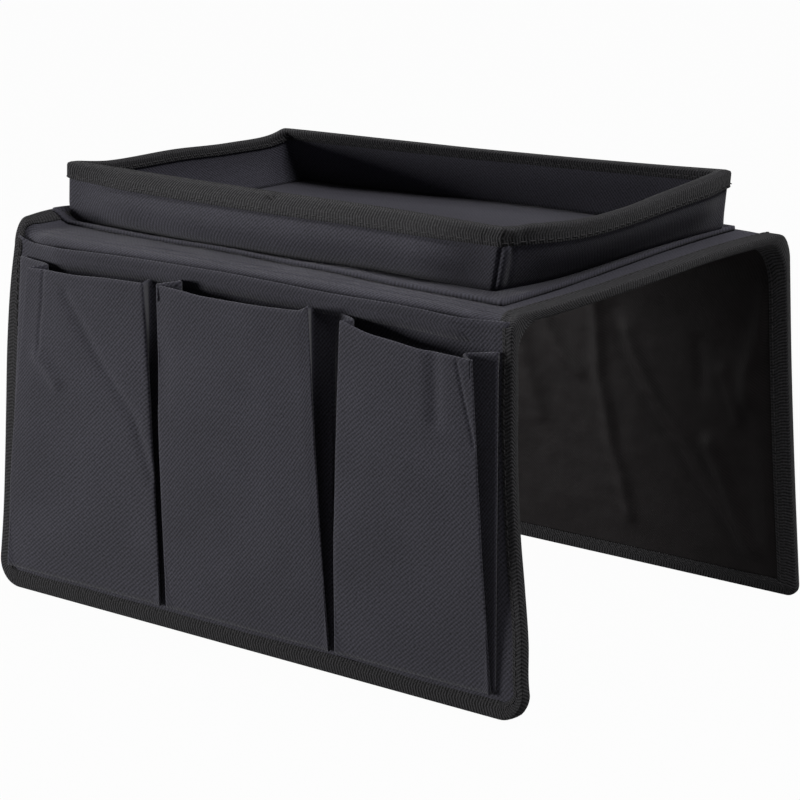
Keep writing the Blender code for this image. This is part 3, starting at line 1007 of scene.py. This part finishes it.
pocketForm = {
    "pleat": 12.0,
    "bottom": 167.5,
    "rows": 84,
    "cloth": 0.7,
    "sewn": 3.1,  # stand-off at the bottom: of the seam, the pleat's folds and the face
    "innerFold": 3.7,
    "outerFold": 4.8,
    "face": 5.0,
    "outerIn": 0.6,
    "foldSteps": (12, 14),  # points from the seam to the inner fold, and on to the outer one
    "faceSteps": 26,
    "belly": 1.2,
    "ripples": ((0.55, 38, 0), (0.2, 14, 5)),  # height, size and seed
    "hem": ((0.7, -0.45), (1.4, 0.2), (1.4, 8.0)),  # how far in and down it turns
    "patternHeight": 165.0,
    "hemHeights": (165.6, 166.4, 174.0),
}


def roundOff(line, passes):
    # Each point moves to the mean of itself and its two neighbours, so that folds turn in a small round
    for _ in range(passes):
        line = np.concatenate([line[:1], (line[:-2] + 2 * line[1:-1] + line[2:]) / 4, line[-1:]])
    return line


def makeSmallPocket(which, form):
    mouth = np.array(form["mouth"], float)
    reach = saddle["foldRadius"] + mouth[:, 1]
    downs = saddle["hingeHeight"] + reach * np.sin(sides["front"]["lean"]) - mouth[:, 2]
    left, right = form["bottom"]
    # The sewn bottom lies flat, with a point for each one of the mouth
    onBottom = between(left, right, (mouth[3:-3, 0] - mouth[2, 0]) / (mouth[-3, 0] - mouth[2, 0]))
    fold = np.array([0, pocketForm["pleat"], pocketForm["outerIn"]])
    stand = [pocketForm["sewn"], pocketForm["innerFold"], pocketForm["outerFold"]]
    bottomX = np.concatenate([left + fold, onBottom, (right - fold)[::-1]])
    flat = paired(bottomX, np.concatenate([stand, np.full(len(onBottom), pocketForm["face"]), stand[::-1]]))
    steps = list(pocketForm["foldSteps"])
    counts = steps + [pocketForm["faceSteps"]] * (len(mouth) - 5) + steps[::-1]
    ends, starts = [], []
    for index, count in enumerate(counts):
        share = np.linspace(0, 1, count, endpoint=(index == len(counts) - 1))[:, None]
        starts.append(between(flat[index], flat[index + 1], share))
        ends.append(between(mouth[index, :2], mouth[index + 1, :2], share))
    starts, ends = roundOff(np.concatenate(starts), 2), roundOff(np.concatenate(ends), 5)
    total = sum(counts)
    knots = np.concatenate([[0], np.cumsum(counts)])
    knots[-1] -= 1
    tops = through(np.arange(total), knots, downs)
    height = np.linspace(0, 1, pocketForm["rows"]) ** 0.9
    share = height[:, None]
    closing = between(*form["closing"], smooth(np.linspace(0, 1, total)))
    x = between(starts[:, 0], ends[:, 0], share ** closing)
    down = between(pocketForm["bottom"], tops, share)
    onFace = np.zeros(total)
    onFace[sum(steps):total - sum(steps) + 1] = 1
    onFace = roundOff(onFace, 8)
    wrinkle = sum(ridge(x, down, line, width) * rise for line, width, rise in form["creases"])
    for rise, size, seed in pocketForm["ripples"]:
        wrinkle = wrinkle + rise * softNoise(x, down, size, form["seed"] + seed)
    belly = pocketForm["belly"] * np.sin(np.pi * share)
    n = between(starts[:, 1], ends[:, 1], share) + (belly + wrinkle * smooth(share * 5)) * onFace
    points = flapPoint("front", x, down, n)
    # The hem turns back inside the mouth, square to the mouth's own line
    along = unit(roundOff(np.gradient(ends, axis=0), 3))
    hem = []
    for inward, drop in pocketForm["hem"]:
        step = np.stack([along[:, 1] * inward, along[:, 0] * inward, np.full(total, -drop)], -1)
        hem.append(points[-1] + step)
    points = np.concatenate([points, np.array(hem)])
    width = lengthAlong(ends)
    rise = np.concatenate([height * pocketForm["patternHeight"], pocketForm["hemHeights"]])
    uv = pattern("smallPocket", width, rise[:, None])
    piece = gridPiece("pocket" + which.capitalize(), points, uv, twill, pocketForm["cloth"], flip=True)
    riding(piece, "front_flap", "twill", "pocket_" + which)


for which, form in smallPockets.items():
    makeSmallPocket(which, form)
print("small pockets made")


# Tray. Each side is given from corner to corner, counter-clockwise from the front left: share of its
# length, x, y from the deck's middle, and z for the rim. The foot and its flange's lip lie on the cover.

tray = {
    "rim": [
        [(0, -157.4, -79, 219.6), (0.25, -88, -78, 218.8), (0.5, -15, -77.5, 218.6), (0.75, 58, -78, 219),
         (1, 131, -81, 218.8)],
        [(0, 131, -81, 218.8), (0.1, 136.4, -63, 218.6), (0.25, 142, -36, 217.7), (0.45, 142, 0, 218.5),
         (0.65, 138.6, 36, 220.5), (0.85, 136.4, 72, 223), (1, 133, 96, 224.2)],
        [(0, 133, 96, 224.2), (0.2, 75.5, 96, 221.8), (0.5, -12.5, 93, 219.6), (0.75, -87.5, 87, 219.2),
         (0.95, -142.5, 84, 218.8), (1, -156, 83, 218.6)],
        [(0, -156, 83, 218.6), (0.06, -158.5, 77, 215.9), (0.25, -160, 44, 214.7), (0.5, -161, 3, 216),
         (0.85, -160.5, -55, 216.4), (1, -157.4, -79, 219.6)],
    ],
    "foot": [
        [(0, -159.5, -78), (0.1, -132, -77.5), (0.2, -100, -78), (0.35, -57, -81), (0.46, -27, -81),
         (0.72, 49, -78.5), (0.82, 79, -79), (1, 122, -77.2)],
        [(0, 122, -77.2), (0.1, 125.5, -60), (0.3, 129, -33), (0.65, 129, 32), (1, 129, 99.5)],
        [(0, 129, 99.5), (0.5, -15, 100), (1, -155, 99)],
        [(0, -155, 99), (0.5, -155, 10), (1, -159.5, -78)],
    ],
    "lip": [
        [(0, -164, -86), (0.15, -116, -88), (0.3, -71, -89.5), (0.45, -29, -89.5),
         (0.6, 20, -93), (0.74, 63, -96.5), (0.9, 112, -97.5), (1, 142.5, -96)],
        [(0, 142.5, -96), (0.25, 141, -51), (1, 134.6, 100.8)],
        [(0, 134.6, 100.8), (1, -161, 106)],
        [(0, -161, 106), (1, -164, -86)],
    ],
    "perSide": (220, 130, 220, 130),
    "bulge": (8.2, 3.6, 1.5, 1.8),  # how far each wall swells out between its foot and its rim
    "bulgeHeight": (0.8, 1.35, 1.0, 1.0),  # below 1 the swell sits low in the wall, above 1 high
    "ripple": (0.5, 33),  # height and size of the walls' unevenness
    "wall": 4.6,
    "wallHigh": 31.0,
    "outerHigh": 40.0,
    "innerHigh": 30.0,
    "cloth": 0.8,
    "seat": 0.3,
    "board": 1.6,
    "boardIn": 1.3,
    "boardEnd": 6,  # points left free at each corner
    # the flange's shares of the way from its lip to the foot, heights over the cover and pattern rows
    "flange": ((0.0, 0.5, -10), (0.04, 2.3, -9.6), (0.25, 2.2, -7.5), (0.6, 1.2, -4), (0.9, 0.9, -1)),
    "flangeSeam": (0.45, 1.0),
    "seamTop": 0.76,
}


def roundRing(ring, passes):
    # Each point moves towards its two neighbours, which rounds the ring's corners
    for _ in range(passes):
        ring = (np.roll(ring, 1, 0) + 2 * ring + np.roll(ring, -1, 0)) / 4
    return ring


def loopOf(name, passes):
    # The four sides joined into one ring of points
    ring = []
    for line, count in zip(tray[name], tray["perSide"]):
        share = np.linspace(0, 1, count, endpoint=False)
        knots, *values = np.array(line, float).T
        ring.append(np.stack([through(share, knots, value) for value in values], -1))
    ring = np.concatenate(ring)
    ring[:, 1] += middleY
    return roundRing(np.pad(ring, ((0, 0), (0, 3 - ring.shape[1]))), passes)


def outward(name, passes):
    # How each point of the ring moves for a step of 1 outwards: square to each side, and further at a
    # corner, where the two moved sides meet, with a straight change from corner to corner
    corners = np.array([line[0][1:3] for line in tray[name]], float)
    run = np.roll(corners, -1, 0) - corners
    normal = unit(np.stack([run[:, 1], -run[:, 0]], -1))
    before = np.roll(normal, 1, 0)
    mitre = (before + normal) / (1 + np.sum(before * normal, 1))[:, None]
    field = []
    for side, count in enumerate(tray["perSide"]):
        share = np.linspace(0, 1, count, endpoint=False)[:, None]
        field.append(between(mitre[side], mitre[(side + 1) % 4], share))
    return roundRing(np.pad(np.concatenate(field), ((0, 0), (0, 1))), passes)


rimRing = loopOf("rim", 4)
footRing = loopOf("foot", 4)
lipRing = loopOf("lip", 1)
ringNormal = outward("rim", 4)
ringBulge = np.concatenate([
    bulge * smooth(np.minimum(np.arange(count), count - np.arange(count)) / count * 5)
    for bulge, count in zip(tray["bulge"], tray["perSide"])])[:, None]
bulgeHeight = np.repeat(tray["bulgeHeight"], tray["perSide"])[:, None]
closedRun = lengthAlong(np.concatenate([rimRing, rimRing[:1]]))
ringRun, ringLength = closedRun[:-1], closedRun[-1]
pastCorner = ringRun - ringRun[tray["perSide"][0]]  # from the front right corner


def deckTop(points):
    # The cover's height under points of the tray
    x, y = points[..., 0], points[..., 1]
    front = lift("front", x, np.clip((middleY - y) / halfDeck, 0, 1))
    back = lift("back", x, np.clip((y - middleY) / halfDeck, 0, 1))
    return deckHeight + np.where(y < middleY, front, back)


def wallPoint(share, out):
    # Between the foot and the rim, swelled a little halfway up, and out from the outer cloth's face
    share = np.asarray(share, float)[:, None, None]
    base = footRing.copy()
    base[:, 2] = deckTop(footRing) + tray["seat"]
    rise, size = tray["ripple"]
    ripple = rise * softNoise(ringRun[:, None], share * tray["innerHigh"], size, 41)
    swell = ringBulge * np.sin(np.pi * np.clip(share, 0, 1) ** bulgeHeight)
    swell = swell + ripple * np.clip(share * 4, 0, 1)
    return between(base, rimRing, share) + ringNormal * (swell + out)


def cornerSeam():
    # The outer cloth's ends are sewn together and folded flat just past the front right corner
    fold = 1.5 * np.exp(-((pastCorner - 3.6) / 2.6) ** 4)
    for at, deep, wide in ((7.6, 0.7, 0.9), (0.2, 0.9, 0.8)):
        fold = fold - deep * np.exp(-((pastCorner - at) / wide) ** 2)
    return fold


def closeRing(points):
    return np.concatenate([points, points[:, :1]], 1)


def onCover(line, height):
    line = line.copy()
    line[:, 2] = deckTop(line) + height
    return line


def trayCloth(name, kind, points, up, flip):
    uv = pattern(name, closedRun, up[:, None])
    cloth = gridPiece(name, closeRing(points), uv, twill, tray["cloth"], flip=flip)
    nodes = ["tray_" + side + "_" + kind for side in ("front", "back", "left", "right")]
    riding(cloth, "deck", "twill", *nodes)


def makeTrayWalls():
    heights = np.concatenate([[0.0, 0.02], np.linspace(0.06, 0.97, 16)])
    wall = wallPoint(heights, 0.0)
    seamed = smooth(heights * 12) * smooth((tray["seamTop"] - heights) * 14)
    wall += ringNormal * (cornerSeam() * seamed[:, None])[..., None]
    tuck = np.array([0.9, 0.5])
    wall[:2] -= ringNormal * tuck[:, None, None]
    flange = [onCover(between(lipRing, footRing, share), height) for share, height, _ in tray["flange"]]
    up = np.concatenate([[row for _, _, row in tray["flange"]], heights * tray["wallHigh"]])
    trayCloth("trayOuter", "outer", np.concatenate([np.array(flange), wall]), up, True)

    share, height = tray["flangeSeam"]
    seam = closeRing(onCover(between(lipRing, footRing, share), height)[None])[0]
    riding(stitchRow("footStitches", seam, seam + np.array([0, 0, 1.0]), *footStitch), "deck", "binding")

    inner = wallPoint(np.linspace(0.0, 0.97, 16), -tray["wall"])
    trayCloth("trayInner", "inner", inner, np.linspace(0, tray["wallHigh"], 16), False)

    board = wallPoint(np.linspace(0.02, 0.95, 8), -tray["boardIn"])
    start, end = 0, tray["boardEnd"]
    for name, count in zip(("front", "right", "back", "left"), tray["perSide"]):
        part = board[:, start + end:start + count - end]
        start += count
        uv = paired(np.arange(part.shape[1]), np.arange(len(part))[:, None])
        slab = gridPiece(name + "TrayBoard", part, uv, paperboard, tray["board"], flip=True)
        riding(slab, "deck", "paperboard", "tray_" + name + "_board")


# Across the tape over the rim. out and in are from the outer cloth's face, rise is from the rim.
rimTape = {"cloth": 0.7, "outerDrop": 9.0, "innerDrop": 6.2, "stand": 0.95, "seamUp": 1.9, "lump": 0.7}


def makeRimTape():
    drop, inner, stand = rimTape["outerDrop"], rimTape["innerDrop"], rimTape["stand"]
    wall, wallHigh = tray["wall"], tray["wallHigh"]
    under = -wall - stand
    profile = [(0.5, -drop), (stand, -drop + 0.05), (stand + 0.2, -drop + 0.5), (stand, -drop + 1.2),
               (stand, -drop * 0.66), (stand, -drop * 0.33), (stand, -1.6), (0.6, -0.5), (-0.6, 0.1),
               (-wall / 2, 0.35), (-wall + 0.6, 0.1), (-wall - 0.6, -0.5), (under, -1.6),
               (under, -inner * 0.5), (under, -inner + 1.2), (under - 0.2, -inner + 0.5),
               (under, -inner + 0.05), (-wall - 0.5, -inner)]
    # The tape is lumpy where it turns the front right corner
    lumps = np.exp(-((pastCorner - 3) / 15) ** 2)
    points = []
    for row, (out, rise) in enumerate(profile):
        lump = lumps * softNoise(ringRun, row * 0.9, 3.6, 61)
        line = wallPoint([1 + rise / wallHigh], out + rimTape["lump"] * lump[:, None])[0]
        line[:, 2] += 0.6 * lump * (rise > -2)
        points.append(line)
    points = closeRing(np.array(points))
    across = lengthAlong(points[:, 0])
    uv = paired(closedRun, across[:, None])
    tape = gridPiece("trayRimTape", points, uv, binding, rimTape["cloth"], flip=True)
    riding(tape, "deck", "binding", "tray_rim_binding")
    for which, lip, out, over in (("outer", drop, 1.0, 1.0), ("inner", inner, -wall - 1.0, -1.0)):
        share = 1 + (rimTape["seamUp"] - lip) / wallHigh
        path, above = (closeRing(wallPoint([share], at))[0] for at in (out, out + over))
        riding(stitchRow("rimStitches_" + which, path, above, *rimStitch), "deck", "binding")


looseThread = {"x": -18.0, "radius": 0.42, "long": 8.0, "stand": 1.8, "fall": 3.6, "wave": (1.6, 1.2),
               "around": 8, "rings": 16, "tip": 0.1}


def makeLooseThread():
    # A thread's end stands off the front rim: a small tube along an arc, thin at both ends
    at = np.argmin(np.abs(rimRing[:tray["perSide"][0], 0] - looseThread["x"]))
    around, rings = looseThread["around"], looseThread["rings"]
    t = np.linspace(0, 1, rings)
    waveX, waveZ = looseThread["wave"]
    turn = np.sin(2 * np.pi * t)
    arc = np.stack([looseThread["long"] * t - waveX * turn, -looseThread["stand"] * np.sin(np.pi * t),
                    waveZ * turn - looseThread["fall"] * t], -1)
    path = wallPoint([1.0], 1.0)[0][at] + arc
    ahead = unit(np.gradient(path, axis=0))
    aside = unit(np.cross(ahead, [0, 0.3, 1]))
    radius = looseThread["radius"] * np.clip(np.minimum(t, 1 - t) * 12, looseThread["tip"], 1)
    points = path[:, None] + spokes(aside, np.cross(aside, ahead), around) * radius[:, None, None]
    uv = paired(t[:, None] * 12, np.arange(around) * 2 * np.pi / around)
    piece = putMesh("looseThread", points, gridFaces(rings, around, True)[:, ::-1], uv, thread)
    riding(piece, "deck", "binding")


makeTrayWalls()
makeRimTape()
makeLooseThread()
print("tray made")
